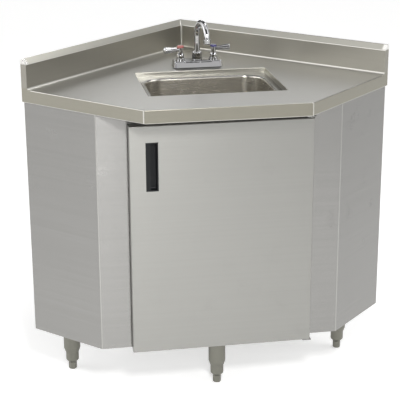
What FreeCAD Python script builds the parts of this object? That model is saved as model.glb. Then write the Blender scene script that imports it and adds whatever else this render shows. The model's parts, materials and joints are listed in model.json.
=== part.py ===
import FreeCAD
import Part
import math
import os

# Stainless steel corner sink cabinet. Millimetres, +Z up, front towards -Y, origin on the floor
# under the middle of the plan.

# Top
wall_run = 762.0             # each wall side of the top, from the back corner
front_edge = 457.2           # diagonal front edge of the top
deck_height = 901.7          # floor to the face of the deck
top_sheet = 1.5              # sheet of the top and the bowl
top_bend = 1.0               # inside radius of its bends
apron_height = 38.1          # turned-down edge of the deck
front_turn = 14.0            # lip turned under the front apron
end_turn = 3.5               # lip turned under the two end aprons
top_corner_radius = 11.0     # plan radius of the two front corners
splash_height = 92.0         # deck to the highest line of the splash
splash_depth = 20.6          # wall to the face of the splash
splash_foot = 12.0           # flat of the deck that is bent up with the splash
splash_flange = 16.0         # flange turned down against the wall
cove_radius = 6.0            # radius between deck and splash
splash_bend = 2.0            # inside radius of the splash's upper bends
channel_width = 50.0         # hat channels under the deck
channel_height = 25.0
channel_flange = 12.0
channel_spread = 250.0       # middle of the cabinet to a channel
channel_front_gap = 20.0     # header to the front end of a channel
channel_rear_gap = 2.0       # rear end of a channel to the back panel's flange

# Sink
cutout_width = 396.0
cutout_depth = 304.0
cutout_back = 388.0          # back corner to the rear edge of the cut-out
cutout_lip = 16.0            # turned-down edge of the cut-out
bowl_width = 356.0
bowl_length = 254.0
bowl_depth = 254.0           # ledge to floor
bowl_corner = 56.0
bowl_floor_radius = 32.0
bowl_rim_radius = 6.0
bowl_flange = 5.0            # bowl's rim beyond the cut-out lip

# Drain
drain_radius = 42.0          # outside of the drain body
drain_wall = 2.0
drain_flange = 14.0          # flange beyond the body
drain_flange_sheet = 2.4
drain_recess = 3.0           # flange pocket in the bowl's floor
drain_cup_depth = 48.0
drain_step_depth = 10.0      # flange to the basket's seat
drain_step = 3.0             # width of that seat
spud_radius = 22.0
spud_wall = 4.0
spud_length = 16.0
gasket_sheet = 3.0
locknut_height = 14.0
locknut_wall = 9.0
locknut_lugs = 6
lug_width = 12.0
lug_reach = 4.0
basket_sheet = 1.2
basket_wall_gap = 3.0        # basket's wall to the drain's inner wall
basket_depth = 24.0
basket_holes = 10
basket_hole_radius = 3.2
basket_post_radius = 3.0
basket_post_height = 20.0
basket_knob_radius = 7.0
basket_knob_height = 6.0
basket_knob_round = 2.0
tail_radius = 19.05          # outside of the drain tailpiece
tail_wall = 1.3
tail_length = 110.0
tail_flange = 2.2
tail_flange_sheet = 2.0
tail_neck = 0.2              # tube is this much thicker in the nut
tail_neck_length = 14.0
nut_wall = 5.0
nut_grip = 10.0              # spud length that the nut takes

# Faucet
faucet_setback = 56.0        # rear edge of the cut-out to the faucet's middle
faucet_centres = 101.6       # between the two valves
faucet_gasket_sheet = 1.5
base_width = 152.0
base_depth = 50.0
base_height = 19.0
base_corner = 9.0
base_draft = 3.0             # each side draws in towards the top
base_round = 3.0             # radius of the base's upper edge
boss_radius = 15.0           # round seats under the bonnets and the spout nut
boss_height = 3.0
dish_radius = 9.0            # hollow along the front of the base
dish_half_length = 37.5
dish_depth = 5.0
dish_offset = 21.0           # faucet's middle to the hollow
bonnet_foot_radius = 13.0
bonnet_foot_height = 4.0
bonnet_foot_round = 1.5
bonnet_waist_radius = 11.0
bonnet_waist_height = 13.2
bonnet_waist_round = 4.4
bonnet_top_radius = 8.5
bonnet_height = 18.3
stem_radius = 4.0
stem_clearance = 0.06        # stem in its bonnet and in the body
stem_fit = 0.02              # stem in the lever's hub
stem_depth = 12.0            # stem below the boss
hub_radius = 7.0             # neck of a lever's hub
hub_gap = 0.4                # bonnet to hub
hub_height = 17.0
hub_wall = 3.0               # over the end of the stem
lever_root_radius = 4.6
lever_tip_radius = 10.5
lever_tip_round = 3.0
lever_dome_length = 4.5      # rounded end of the lever
lever_dome_radius = 3.6
lever_dome_round = 2.0
lever_reach = 55.0           # valve axis to the lever's tip
lever_start = 3.0
lever_axis_drop = 5.5        # top of the hub to the lever's axis
lever_turn = 12.0            # degrees both levers stand off the line of the valves
index_radius = 10.0
index_height = 6.0
index_round = 2.0
spout_nut_flats = 26.0
spout_nut_height = 17.0
spout_collar_radius = 14.5
spout_collar_height = 4.0
spout_collar_round = 1.5
tube_radius = 8.75
tube_wall = 1.2
tube_clearance = 0.08
tube_seat = 12.0             # tube below the boss
tube_rise = 95.0             # deck to the middle of the bend
spout_radius = 45.0          # bend of the gooseneck
spout_drop = 6.0
spout_swing = 10.0           # degrees the spout stands off straight ahead
aerator_radius = 11.2
aerator_height = 15.0
aerator_lap = 9.0            # over the end of the tube
aerator_gap = 0.1
aerator_draw = 1.0           # narrowing at its mouth
aerator_draw_height = 3.0
aerator_mouth_round = 0.5
shank_radius = 12.0          # through the deck
supply_radius = 10.48        # free end, for the supply line's nut
supply_length = 38.0
shank_bore = 6.0
shank_length = 62.0          # below the deck's face
faucet_hole_radius = 14.0
shank_nut_radius = 18.0
shank_nut_height = 9.0
thread_gap = 0.12

# Cabinet
body_sheet = 1.2
body_bend = 1.5              # inside radius of the frame's bends
stile_bend = 3.0             # inside radius between end panel and stile
end_inset = 5.0              # end apron to end panel
rear_inset = 3.0             # wall to back panel
front_overhang = 128.0       # front edge of the deck to the stiles
body_bottom = 163.0
shelf_rise = 25.4            # bottom edge of the panels to the shelf's face
stile_return = 22.0
header_flange = 16.0
back_flange = 40.0           # top flange of a back panel, under the deck
service_width = 260.0        # plumbing cut-out in each back panel
service_height = 200.0
service_middle = 390.0       # back corner to the middle of the cut-out
service_bottom = 330.0
service_corner = 12.0

# Door
door_width = 524.0
door_bottom = 158.0
door_drop = 30.4             # lower edge of the apron to the top of the door
door_thickness = 25.4
door_gap = 6.0               # stiles to the back of the door
door_overlap = 20.0          # door beyond its opening at each side and at the top
door_sheet = 1.2
door_bend = 1.3              # inside radius of the door's edges
liner_flange = 5.0
liner_gap = 0.1
pull_width = 35.0
pull_height = 140.5
pull_edge = 46.0             # door's free edge to the pull
pull_drop = 47.7             # top of the door to the pull
pull_proud = 1.2
pull_rim = 2.0               # rim lapping over the cut-out in the door
pull_rim_round = 0.7
pull_depth = 15.0
pull_floor_round = 5.0
pull_wall = 1.6
pull_lip = 9.0               # grip lip along the free edge's side
pull_gap = 0.1
pivot_inset = 8.0            # door's hinge edge to the pivot
pivot_pin_radius = 4.0
pivot_pin_length = 12.0
pivot_clearance = 0.05
pivot_gap = 1.5              # door's edge to the bracket
bush_wall = 2.0
bush_depth = 14.0
bush_flange = 2.0
bush_flange_sheet = 1.2
bracket_sheet = 2.5
bracket_width = 26.0
bracket_rise = 30.0          # leg of a bracket on the stile
bracket_nose = 9.0           # pivot to the front of a bracket
screw_radius = 2.0
screw_head_radius = 4.2
screw_length = 8.0
screw_gap = 0.15
screw_spread = 14.0
screw_rise = 16.5            # bracket's plate to its screws
catch_width = 46.0
catch_height = 14.0
catch_from_edge = 90.0       # free edge of the opening to the catch's middle
catch_depth = 18.0           # behind the stiles' face
catch_gap = 0.3
catch_round = 2.0
catch_pole_inset = 3.5
strike_sheet = 1.5
strike_inset = 1.75

# Legs
leg_radius = 25.4
leg_lip_radius = 21.4
leg_lip_round = 0.5
leg_lip_height = 59.0        # floor to the lower end of the leg
leg_taper_height = 12.0
leg_taper_round = 4.0
leg_along = 645.0            # back corner to a side leg, along its wall
leg_from_wall = 47.0
leg_rear = 60.0              # both walls to the rear leg
leg_front = 660.0            # back corner to the front leg
leg_plate_size = 76.0
leg_plate_sheet = 6.0
leg_plate_corner = 8.0
leg_stud_radius = 8.0
foot_radius = 19.8
foot_clearance = 0.4
foot_inside = 7.0            # foot's shoulder above the leg's lower end
foot_shoulder = 31.0         # floor to the straight side of the foot
foot_shoulder_round = 5.0
foot_top_round = 0.5
foot_flats = 22.0            # hexagon at the foot's tip
foot_tip_height = 22.0
foot_tip_chamfer = 2.0
foot_stud_radius = 9.0
foot_stud_length = 74.0

# Shared
edge_round = 1.0             # small edges of turned pieces
seat_gap = 0.2               # room left at the end of a blind seat

# Derived sizes
root2 = math.sqrt(2.0)
tiny = 0.01
past = 1.0                   # how far a cutting tool runs past the face it opens
Vector = FreeCAD.Vector
up = Vector(0, 0, 1)
end_depth = wall_run - front_edge / root2
plan_depth = (wall_run + end_depth) / root2
corner_y = plan_depth / 2
deck_under = deck_height - top_sheet
apron_bottom = deck_height - apron_height
splash_rear = splash_depth + splash_foot
stile_y = corner_y - plan_depth + front_overhang
shelf_top = body_bottom + shelf_rise
opening_half = door_width / 2 - door_overlap
door_top = apron_bottom - door_drop
header_bottom = door_top - door_overlap
cutout_y = corner_y - cutout_back - cutout_depth / 2
ledge = deck_height - cutout_lip
bowl_floor = ledge - bowl_depth
drain_seat = bowl_floor - drain_recess
drain_under = drain_seat - top_sheet
basket_seat = drain_seat + drain_flange_sheet - drain_step_depth
spud_end = drain_seat - drain_cup_depth - spud_length
faucet_y = cutout_y + cutout_depth / 2 + faucet_setback
faucet_foot = deck_height + faucet_gasket_sheet
faucet_seat = faucet_foot + base_height + boss_height
hub_foot = faucet_seat + bonnet_height + hub_gap
hub_top = hub_foot + hub_height
door_back = stile_y - door_gap
door_front = door_back - door_thickness
pivot_x = door_width / 2 - pivot_inset
pivot_y = door_back - door_thickness / 2
bush_radius = pivot_pin_radius + pivot_clearance + bush_wall
pull_x = -door_width / 2 + pull_edge + pull_width / 2
pull_z = door_top - pull_drop - pull_height / 2
catch_x = -opening_half + catch_from_edge
leg_top = shelf_top - body_sheet - leg_plate_sheet
foot_top = leg_lip_height + foot_inside


def plan(u, v):
    # u runs along the left wall and v along the right wall, both from the back corner
    return (v - u) / root2, corner_y - (u + v) / root2


def wall_point(u, v, z):
    x, y = plan(u, v)
    return Vector(x, y, z)


def rounded_face(points, radii):
    # flat face inside a closed outline whose corners have the given radii
    stops = []
    for i, corner in enumerate(points):
        radius = radii[i]
        if radius == 0:
            stops.append((corner, None, corner))
            continue
        back = (points[i - 1] - corner).normalize()
        ahead = (points[(i + 1) % len(points)] - corner).normalize()
        half = back.getAngle(ahead) / 2
        reach = radius / math.tan(half)
        middle = (back + ahead).normalize()
        crown = corner + middle * (radius / math.sin(half) - radius)
        stops.append((corner + back * reach, crown, corner + ahead * reach))
    edges = []
    for i, (start, crown, end) in enumerate(stops):
        if crown is not None:
            edges.append(Part.Arc(start, crown, end).toShape())
        following = stops[(i + 1) % len(stops)][0]
        if end.distanceToPoint(following) > tiny:
            edges.append(Part.LineSegment(end, following).toShape())
    return Part.Face(Part.Wire(edges))


def moved_left(path, distance):
    # open line moved sideways to its left, with its corners kept
    normals = []
    for (ax, ay), (bx, by) in zip(path, path[1:]):
        length = math.hypot(bx - ax, by - ay)
        normals.append(((ay - by) / length, (bx - ax) / length))
    before = normals[:1] + normals
    after = normals + normals[-1:]
    result = []
    for (x, y), (ax, ay), (bx, by) in zip(path, before, after):
        share = distance / (1 + ax * bx + ay * by)
        result.append((x + (ax + bx) * share, y + (ay + by) * share))
    return result


def bent_sheet(path, sheet, bends, place, sweep):
    # sheet of even thickness on the left of an open line, bent at each inner point of the line
    outer_radii = [0.0]
    inner_radii = [0.0]
    for (ax, ay), (bx, by), (cx, cy), bend in zip(path, path[1:], path[2:], bends):
        turns_left = (bx - ax) * (cy - by) - (by - ay) * (cx - bx) > 0
        outer_radii.append(bend + sheet if turns_left else bend)
        inner_radii.append(bend if turns_left else bend + sheet)
    outer_radii.append(0.0)
    inner_radii.append(0.0)
    points = path + moved_left(path, sheet)[::-1]
    face = rounded_face([place(*point) for point in points], outer_radii + inner_radii[::-1])
    return face.extrude(sweep)


def rectangle(width, depth, corner, x, y, z):
    half_w = width / 2
    half_d = depth / 2
    signs = [(-1, -1), (1, -1), (1, 1), (-1, 1)]
    return rounded_face([Vector(x + a * half_w, y + b * half_d, z) for a, b in signs], [corner] * 4)


def block(x0, y0, z0, x1, y1, z1):
    return Part.makeBox(x1 - x0, y1 - y0, z1 - z0, Vector(x0, y0, z0))


def turned(profile, x, y):
    # solid of revolution about a vertical line; the profile holds (radius, height, corner radius)
    points = [Vector(radius, 0, z) for radius, z, corner in profile]
    face = rounded_face(points, [corner for radius, z, corner in profile])
    solid = face.revolve(Vector(), up, 360)
    solid.translate(Vector(x, y, 0))
    return solid


def hexagon(flats, x, y, z, height):
    corners = []
    for side in range(6):
        angle = math.radians(60 * side)
        corners.append(Vector(x + math.cos(angle) * flats / math.sqrt(3),
                              y + math.sin(angle) * flats / math.sqrt(3), z))
    return rounded_face(corners, [0] * 6).extrude(up * height)


def rod(radius, height, x, y, z):
    return Part.makeCylinder(radius, height, Vector(x, y, z), up)


def level_at(edge, z):
    box = edge.BoundBox
    return abs(box.ZMin - z) < tiny and abs(box.ZMax - z) < tiny


def facing_at(edge, y):
    box = edge.BoundBox
    return abs(box.YMin - y) < tiny and abs(box.YMax - y) < tiny


def mirrored(shape):
    return shape.mirror(Vector(), Vector(1, 0, 0))


def left_half(shape):
    # what lies left of the middle plane, for pieces mitred at the back corner
    reach = 2 * wall_run
    return shape.cut(block(0, -reach, -past, reach, reach, 2 * deck_height))


def five_sides(rear, end, front):
    # plan outline: both wall lines, both end lines and the diagonal front line
    side = front * root2 - end
    return [(rear, rear), (end, rear), (end, side), (side, end), (rear, end)]


def five_sided_prism(sides, corner, z0, z1):
    points = [wall_point(u, v, z0) for u, v in sides]
    return rounded_face(points, [0, 0, corner, corner, 0]).extrude(up * (z1 - z0))


# Top

def apron_edges(shape, rear):
    # upper and lower edges of the ends and the front, not those along the walls
    found = []
    for edge in shape.Edges:
        middle = edge.CenterOfMass
        u = (corner_y - middle.y - middle.x) / root2
        v = (corner_y - middle.y + middle.x) / root2
        if edge.BoundBox.ZLength < tiny and min(u, v) > rear + tiny:
            found.append(edge)
    return found


def deck_shell():
    outer = five_sided_prism(five_sides(splash_rear, wall_run, plan_depth),
                             top_corner_radius, apron_bottom, deck_height)
    outer = outer.makeFillet(top_bend + top_sheet, apron_edges(outer, splash_rear))
    open_rear = splash_rear - past
    inner = five_sided_prism(five_sides(open_rear, wall_run - top_sheet, plan_depth - top_sheet),
                             top_corner_radius - top_sheet, apron_bottom + top_sheet, deck_under)
    inner = inner.makeFillet(top_bend, apron_edges(inner, open_rear))
    mouth = five_sided_prism(five_sides(open_rear, wall_run - end_turn, plan_depth - front_turn),
                             0, apron_bottom - past, apron_bottom + top_sheet + past)
    return outer.cut(inner).cut(mouth)


def end_apron():
    # end of the left apron under the splash, where the deck has no bend
    path = [(wall_run - end_turn, apron_bottom), (wall_run, apron_bottom), (wall_run, deck_height)]
    sweep = wall_point(0, splash_rear, 0) - wall_point(0, 0, 0)
    return bent_sheet(path, top_sheet, [top_bend], lambda u, z: wall_point(u, 0, z), sweep)


def splash_sheet():
    # left splash: cove, face, sloping top and wall flange, mitred at the back corner
    face_top = deck_height + splash_height - splash_depth
    ridge = deck_height + splash_height
    path = [(splash_rear, deck_height), (splash_depth, deck_height), (splash_depth, face_top),
            (0, ridge), (0, ridge - splash_flange)]
    sweep = wall_point(-splash_rear, 0, 0) - wall_point(wall_run, 0, 0)
    bends = [cove_radius, splash_bend, splash_bend]
    return left_half(bent_sheet(path, top_sheet, bends, lambda v, z: wall_point(wall_run, v, z), sweep))


def deck_top():
    left = end_apron().fuse(splash_sheet())
    top = deck_shell().multiFuse([left, mirrored(left)]).removeSplitter()
    half_w = cutout_width / 2
    half_d = cutout_depth / 2
    lip = block(-half_w - top_sheet, cutout_y - half_d - top_sheet, ledge,
                half_w + top_sheet, cutout_y + half_d + top_sheet, deck_under)
    hole = block(-half_w, cutout_y - half_d, ledge - past, half_w, cutout_y + half_d, deck_height + past)
    top = top.fuse(lip).cut(hole)
    for x in (-faucet_centres / 2, faucet_centres / 2):
        top = top.cut(rod(faucet_hole_radius, top_sheet + 2 * past, x, faucet_y, deck_under - past))
    rim = [edge for edge in top.Edges if level_at(edge, deck_height)
           and abs(edge.CenterOfMass.x) < half_w + tiny
           and abs(edge.CenterOfMass.y - cutout_y) < half_d + tiny]
    return top.makeFillet(top_bend + top_sheet, rim).removeSplitter()


def splash_end_cap():
    # closes the left splash, flush with its end, inside the bent sheet
    face_top = deck_height + splash_height - splash_depth
    corners = [(0, deck_height), (splash_depth, deck_height), (splash_depth, face_top),
               (0, deck_height + splash_height)]
    outer_bend = splash_bend + top_sheet
    face = rounded_face([wall_point(wall_run, v, z) for v, z in corners], [0, 0, outer_bend, outer_bend])
    sweep = wall_point(wall_run - top_sheet, 0, 0) - wall_point(wall_run, 0, 0)
    return face.extrude(sweep).cut(splash_sheet())


def deck_channel():
    # hat section under the left part of the deck
    half = channel_width / 2
    foot = deck_under - body_sheet
    sole = deck_under - channel_height
    path = [(-half - channel_flange, foot), (-half, foot), (-half, sole), (half, sole), (half, foot),
            (half + channel_flange, foot)]
    front = stile_y + header_flange + channel_front_gap
    rear = corner_y - channel_spread - half - channel_flange
    rear -= (rear_inset + back_flange + channel_rear_gap) * root2
    return bent_sheet(path, body_sheet, [body_bend] * 4,
                      lambda x, z: Vector(x - channel_spread, front, z), Vector(0, rear - front, 0))


# Sink and drain

def sink_bowl():
    rim_width = cutout_width + 2 * (top_sheet + bowl_flange)
    rim_depth = cutout_depth + 2 * (top_sheet + bowl_flange)
    rim_under = ledge - top_sheet
    rim = rectangle(rim_width, rim_depth, bowl_flange, 0, cutout_y, rim_under).extrude(up * top_sheet)
    outside = rectangle(bowl_width + 2 * top_sheet, bowl_length + 2 * top_sheet, bowl_corner + top_sheet,
                        0, cutout_y, bowl_floor - top_sheet).extrude(up * (bowl_depth + top_sheet))
    floor_edges = [edge for edge in outside.Edges if level_at(edge, bowl_floor - top_sheet)]
    outside = outside.makeFillet(bowl_floor_radius + top_sheet, floor_edges)
    bowl = outside.fuse(rim).removeSplitter()
    neck = [edge for edge in bowl.Edges if level_at(edge, rim_under)
            and abs(edge.CenterOfMass.x) < bowl_width / 2 + 2 * top_sheet
            and abs(edge.CenterOfMass.y - cutout_y) < bowl_length / 2 + 2 * top_sheet]
    bowl = bowl.makeFillet(bowl_rim_radius - top_sheet, neck)
    pocket_radius = drain_radius + drain_flange + drain_wall
    bowl = bowl.fuse(rod(pocket_radius + top_sheet, drain_recess, 0, cutout_y, drain_under))
    inside = rectangle(bowl_width, bowl_length, bowl_corner, 0, cutout_y, bowl_floor)
    inside = inside.extrude(up * (bowl_depth + past))
    inside = inside.makeFillet(bowl_floor_radius, [e for e in inside.Edges if level_at(e, bowl_floor)])
    bowl = bowl.cut(inside)
    mouth = [edge for edge in bowl.Edges if level_at(edge, ledge)
             and abs(edge.CenterOfMass.x) < bowl_width / 2 + tiny
             and abs(edge.CenterOfMass.y - cutout_y) < bowl_length / 2 + tiny]
    bowl = bowl.makeFillet(bowl_rim_radius, mouth)
    bowl = bowl.cut(rod(pocket_radius, drain_recess + top_sheet + past, 0, cutout_y, drain_seat))
    return bowl.cut(rod(drain_radius + thread_gap, top_sheet + 2 * past, 0, cutout_y, drain_under - past))


def drain_body():
    bore = drain_radius - drain_wall
    face = drain_seat + drain_flange_sheet
    floor = spud_end + spud_length
    profile = [(drain_radius + drain_flange, drain_seat, 0), (drain_radius + drain_flange, face, edge_round),
               (bore, face, edge_round), (bore, basket_seat, 0), (bore - drain_step, basket_seat, 0),
               (bore - drain_step, floor + drain_wall, 0), (spud_radius - spud_wall, floor + drain_wall, 0),
               (spud_radius - spud_wall, spud_end, 0), (spud_radius, spud_end, 0), (spud_radius, floor, 0),
               (drain_radius, floor, drain_wall), (drain_radius, drain_seat, 0)]
    return turned(profile, 0, cutout_y)


def ring(inner, outer, z, height, x, y):
    return rod(outer, height, x, y, z).cut(rod(inner, height + 2 * past, x, y, z - past))


def drain_gasket():
    return ring(drain_radius + thread_gap, drain_radius + drain_flange, drain_under - gasket_sheet,
                gasket_sheet, 0, cutout_y)


def drain_locknut():
    foot = drain_under - gasket_sheet - locknut_height
    inner = drain_radius + thread_gap
    nut = rod(inner + locknut_wall, locknut_height, 0, cutout_y, foot)
    reach = inner + locknut_wall + lug_reach
    lug = block(0, cutout_y - lug_width / 2, foot, reach, cutout_y + lug_width / 2, foot + locknut_height)
    for i in range(locknut_lugs):
        nut = nut.fuse(lug.rotated(Vector(0, cutout_y, 0), up, 360.0 / locknut_lugs * i))
    return nut.cut(rod(inner, locknut_height + 2 * past, 0, cutout_y, foot - past)).removeSplitter()


def drain_basket():
    seat = basket_seat
    wall = drain_radius - drain_wall - drain_step - basket_wall_gap
    rim = drain_radius - drain_wall - basket_sheet
    floor = seat - basket_depth
    knob = floor + basket_post_height
    profile = [(0, floor, 0), (wall, floor, basket_sheet * 2), (wall, seat, 0), (rim, seat, 0),
               (rim, seat + basket_sheet, 0), (wall - basket_sheet, seat + basket_sheet, basket_sheet),
               (wall - basket_sheet, floor + basket_sheet, basket_sheet),
               (basket_post_radius, floor + basket_sheet, 0), (basket_post_radius, knob, 0),
               (basket_knob_radius, knob, edge_round),
               (basket_knob_radius, knob + basket_knob_height, basket_knob_round),
               (0, knob + basket_knob_height, 0)]
    basket = turned(profile, 0, cutout_y)
    ring_radius = (wall + basket_post_radius) / 2
    hole = rod(basket_hole_radius, basket_sheet + 2 * past, ring_radius, cutout_y, floor - past)
    for i in range(basket_holes):
        basket = basket.cut(hole.rotated(Vector(0, cutout_y, 0), up, 360.0 / basket_holes * i))
    return basket


def drain_tailpiece():
    top = spud_end
    bore = tail_radius - tail_wall
    neck = tail_radius + tail_neck
    profile = [(bore, top, 0), (tail_radius + tail_flange, top, 0),
               (tail_radius + tail_flange, top - tail_flange_sheet, 0),
               (neck, top - tail_flange_sheet, 0), (neck, top - tail_neck_length, 0),
               (tail_radius, top - tail_neck_length, 0), (tail_radius, top - tail_length, 0),
               (bore, top - tail_length, 0)]
    return turned(profile, 0, cutout_y)


def drain_coupling_nut():
    # six-sided nut that holds the tailpiece's flange against the spud
    inner = spud_radius + thread_gap
    lip = tail_flange_sheet + thread_gap
    foot = spud_end - lip - nut_wall
    height = nut_wall + lip + nut_grip
    nut = hexagon(2 * (inner + nut_wall), 0, cutout_y, foot, height)
    nut = nut.cut(rod(inner, height, 0, cutout_y, foot + nut_wall))
    return nut.cut(rod(tail_radius + tail_neck + thread_gap, height, 0, cutout_y, foot - past))


# Faucet

def faucet_gasket():
    sheet = rectangle(base_width - base_draft, base_depth - base_draft, base_corner, 0, faucet_y, deck_height)
    gasket = sheet.extrude(up * faucet_gasket_sheet)
    for x in (-faucet_centres / 2, faucet_centres / 2):
        gasket = gasket.cut(rod(shank_radius + thread_gap, faucet_gasket_sheet + 2 * past, x, faucet_y,
                                deck_height - past))
    return gasket


def faucet_body():
    # cast base drawn in towards its top, with a long hollow along its front and three round seats
    base_top = faucet_foot + base_height
    lower = rectangle(base_width, base_depth, base_corner, 0, faucet_y, faucet_foot)
    upper = rectangle(base_width - 2 * base_draft, base_depth - 2 * base_draft, base_corner - base_draft,
                      0, faucet_y, base_top)
    body = Part.makeLoft([lower.OuterWire, upper.OuterWire], True, True)
    body = body.makeFillet(base_round, [edge for edge in body.Edges if level_at(edge, base_top)])
    for x in (-faucet_centres / 2, 0, faucet_centres / 2):
        body = body.fuse(rod(boss_radius, boss_height + base_round, x, faucet_y, base_top - base_round))
    hollow_y = faucet_y - dish_offset
    hollow_z = base_top + dish_radius - dish_depth
    start = Vector(-dish_half_length, hollow_y, hollow_z)
    end = Vector(dish_half_length, hollow_y, hollow_z)
    hollow = Part.makeCylinder(dish_radius, 2 * dish_half_length, start, Vector(1, 0, 0))
    hollow = hollow.multiFuse([Part.makeSphere(dish_radius, start), Part.makeSphere(dish_radius, end)])
    body = body.cut(hollow)
    for x in (-faucet_centres / 2, faucet_centres / 2):
        body = body.cut(rod(stem_radius + stem_clearance, stem_depth + past, x, faucet_y,
                            faucet_seat - stem_depth - hub_gap))
    return body.cut(rod(tube_radius + tube_clearance, tube_seat + past, 0, faucet_y,
                        faucet_seat - tube_seat)).removeSplitter()


def bonnet(x):
    bore = stem_radius + stem_clearance
    top = faucet_seat + bonnet_height
    profile = [(bore, faucet_seat, 0), (bonnet_foot_radius, faucet_seat, 0),
               (bonnet_foot_radius, faucet_seat + bonnet_foot_height, bonnet_foot_round),
               (bonnet_waist_radius, faucet_seat + bonnet_foot_height, 0),
               (bonnet_waist_radius, faucet_seat + bonnet_waist_height, bonnet_waist_round),
               (bonnet_top_radius, top, edge_round), (bore, top, 0)]
    return turned(profile, x, faucet_y)


def stem(x):
    foot = faucet_seat - stem_depth
    return rod(stem_radius, hub_top - hub_wall - foot, x, faucet_y, foot)


def lever(side):
    # round hub with a flared round arm; side is -1 for hot and 1 for cold
    x = side * faucet_centres / 2
    arm_z = hub_top - lever_axis_drop
    hub = turned([(0, hub_foot, 0), (hub_radius, hub_foot, edge_round), (hub_radius, hub_top, edge_round),
                  (0, hub_top, 0)], x, faucet_y)
    points = [Vector(lever_start, 0, 0), Vector(lever_start, 0, lever_root_radius),
              Vector(lever_reach - lever_dome_length, 0, lever_tip_radius),
              Vector(lever_reach, 0, lever_dome_radius), Vector(lever_reach, 0, 0)]
    arm = rounded_face(points, [0, 0, lever_tip_round, lever_dome_round, 0])
    arm = arm.revolve(Vector(), Vector(1, 0, 0), 360)
    arm.rotate(Vector(), up, lever_turn + (180 if side < 0 else 0))
    arm.translate(Vector(x, faucet_y, arm_z))
    handle = hub.fuse(arm).removeSplitter()
    socket = rod(stem_radius + stem_fit, hub_height - hub_wall + past, x, faucet_y, hub_foot - past)
    return handle.cut(socket)


def index_cap(x):
    top = hub_top + index_height
    profile = [(0, hub_top, 0), (index_radius, hub_top, 0), (index_radius, top, index_round), (0, top, 0)]
    return turned(profile, x, faucet_y)


def spout_nut():
    bore = tube_radius + tube_clearance
    nut = hexagon(spout_nut_flats, 0, faucet_y, faucet_seat, spout_nut_height)
    collar_foot = faucet_seat + spout_nut_height
    collar = turned([(0, collar_foot, 0), (spout_collar_radius, collar_foot, 0),
                     (spout_collar_radius, collar_foot + spout_collar_height, spout_collar_round),
                     (0, collar_foot + spout_collar_height, 0)], 0, faucet_y)
    height = spout_nut_height + spout_collar_height + 2 * past
    return nut.fuse(collar).cut(rod(bore, height, 0, faucet_y, faucet_seat - past))


def spout_path():
    # riser, half circle and short drop, in the upright plane that the spout points along
    angle = math.radians(spout_swing)
    ahead = Vector(math.sin(angle), -math.cos(angle), 0)
    foot = Vector(0, faucet_y, faucet_seat - tube_seat + seat_gap)
    rise = Vector(0, faucet_y, deck_height + tube_rise)
    crown = rise + ahead * spout_radius + up * spout_radius
    fall = rise + ahead * (2 * spout_radius)
    mouth = fall - up * spout_drop
    path = Part.Wire([Part.LineSegment(foot, rise).toShape(), Part.Arc(rise, crown, fall).toShape(),
                      Part.LineSegment(fall, mouth).toShape()])
    return path, foot, mouth


def gooseneck_spout():
    path, foot, mouth = spout_path()
    tubes = []
    for radius in (tube_radius, tube_radius - tube_wall):
        section = Part.Wire(Part.makeCircle(radius, foot, up))
        tubes.append(path.makePipeShell([section], True, False))
    return tubes[0].cut(tubes[1])


def spout_aerator():
    path, foot, mouth = spout_path()
    top = mouth.z + aerator_lap
    low = top - aerator_height
    sleeve = tube_radius + aerator_gap
    bore = tube_radius - tube_wall
    profile = [(bore, low, 0), (aerator_radius - aerator_draw, low, aerator_mouth_round),
               (aerator_radius, low + aerator_draw_height, edge_round), (aerator_radius, top, edge_round),
               (sleeve, top, 0), (sleeve, mouth.z, 0), (bore, mouth.z, 0)]
    return turned(profile, mouth.x, mouth.y)


def supply_shank(x):
    low = deck_height - shank_length
    step = low + supply_length
    profile = [(shank_bore, low, 0), (supply_radius, low, 0), (supply_radius, step, 0),
               (shank_radius, step, 0), (shank_radius, faucet_foot, 0), (shank_bore, faucet_foot, 0)]
    return turned(profile, x, faucet_y)


def shank_locknuts():
    nuts = []
    for x in (-faucet_centres / 2, faucet_centres / 2):
        foot = deck_under - shank_nut_height
        nut = hexagon(2 * shank_nut_radius, x, faucet_y, foot, shank_nut_height)
        nuts.append(nut.cut(rod(shank_radius + thread_gap, shank_nut_height + 2 * past, x, faucet_y,
                                foot - past)))
    return Part.makeCompound(nuts)


# Cabinet

def body_sides(inset):
    return five_sides(rear_inset + inset, wall_run - end_inset - inset, plan_depth - front_overhang - inset)


def side_panel():
    # left end panel and stile, bent from one sheet, with a return along the door opening
    end = wall_run - end_inset
    front = (plan_depth - front_overhang) * root2 - end
    path = [plan(end, rear_inset), plan(end, front), (-opening_half, stile_y),
            (-opening_half, stile_y + stile_return)]
    panel = bent_sheet(path, body_sheet, [stile_bend, body_bend],
                       lambda x, y: Vector(x, y, body_bottom), up * (deck_under - body_bottom))
    notch = block(-opening_half - stile_return, stile_y + body_sheet, body_bottom - past,
                  -opening_half + past, stile_y + stile_return + past, shelf_top)
    return panel.cut(notch)


def back_panel():
    # left back panel with a flange under the deck, mitred at the back corner
    end = wall_run - end_inset - body_sheet
    path = [(rear_inset + back_flange, deck_under), (rear_inset, deck_under), (rear_inset, body_bottom)]
    sweep = wall_point(-back_flange, 0, 0) - wall_point(end, 0, 0)
    panel = left_half(bent_sheet(path, body_sheet, [body_bend], lambda v, z: wall_point(end, v, z), sweep))
    half = service_width / 2
    corners = [(service_middle - half, service_bottom), (service_middle + half, service_bottom),
               (service_middle + half, service_bottom + service_height),
               (service_middle - half, service_bottom + service_height)]
    window = rounded_face([wall_point(u, 0, z) for u, z in corners], [service_corner] * 4)
    through = wall_point(0, rear_inset + body_sheet + past, 0) - wall_point(0, 0, 0)
    return panel.cut(window.extrude(through))


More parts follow.
